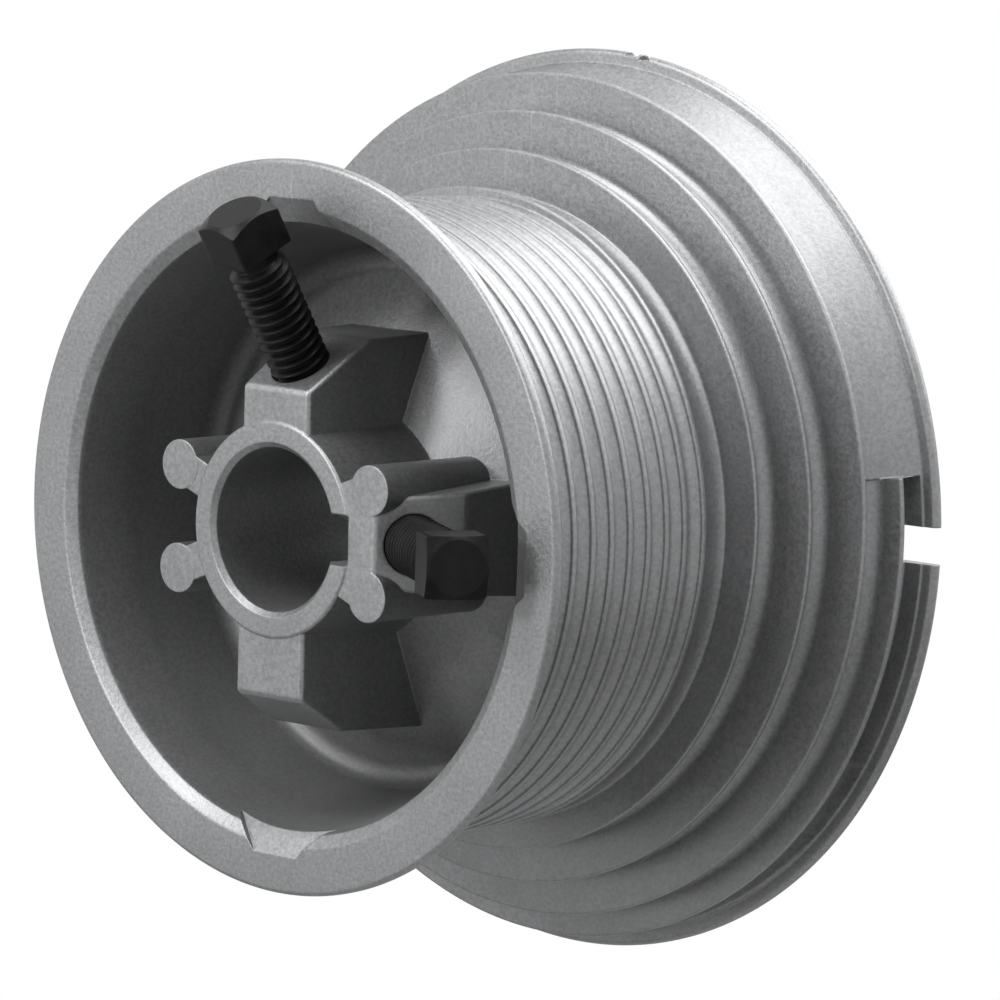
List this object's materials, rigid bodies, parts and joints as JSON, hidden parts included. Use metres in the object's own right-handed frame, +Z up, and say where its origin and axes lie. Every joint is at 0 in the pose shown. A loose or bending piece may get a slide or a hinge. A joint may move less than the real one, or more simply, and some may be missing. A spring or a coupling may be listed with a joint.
{
  "type": "cable drum",
  "caption": "Die-cast garage door cable drum: fine flat grooves, a stepped spiral ramp up to a slotted lip, a keyed shaft bore and square-head set screws.",
  "frame": {"origin": "on the bore axis, in the plane of the small flange's front face", "axes": "+Y along the bore from the small flange to the large one, +Z up through the upper set screw boss, +X through the keyway, the side set screw boss and the cable slot"},
  "size_m": [0.1459, 0.0873, 0.146],
  "materials": {
    "cast_aluminium": "as-cast satin",
    "black_steel": "black oxide"
  },
  "bodies": {
    "drum": {"drum": "cast_aluminium"},
    "set_screw_top": {"set_screw_top": "black_steel"},
    "set_screw_side": {"set_screw_side": "black_steel"}
  },
  "joints": [
    {"name": "top_screw_in", "type": "slide", "parent": "drum", "child": "set_screw_top", "axis": [0, 0.5299, -0.848], "range_m": [-0.0065, 0.002]},
    {"name": "side_screw_in", "type": "slide", "parent": "drum", "child": "set_screw_side", "axis": [-0.848, 0.5299, 0], "range_m": [-0.008, 0.0005]}
  ]
}
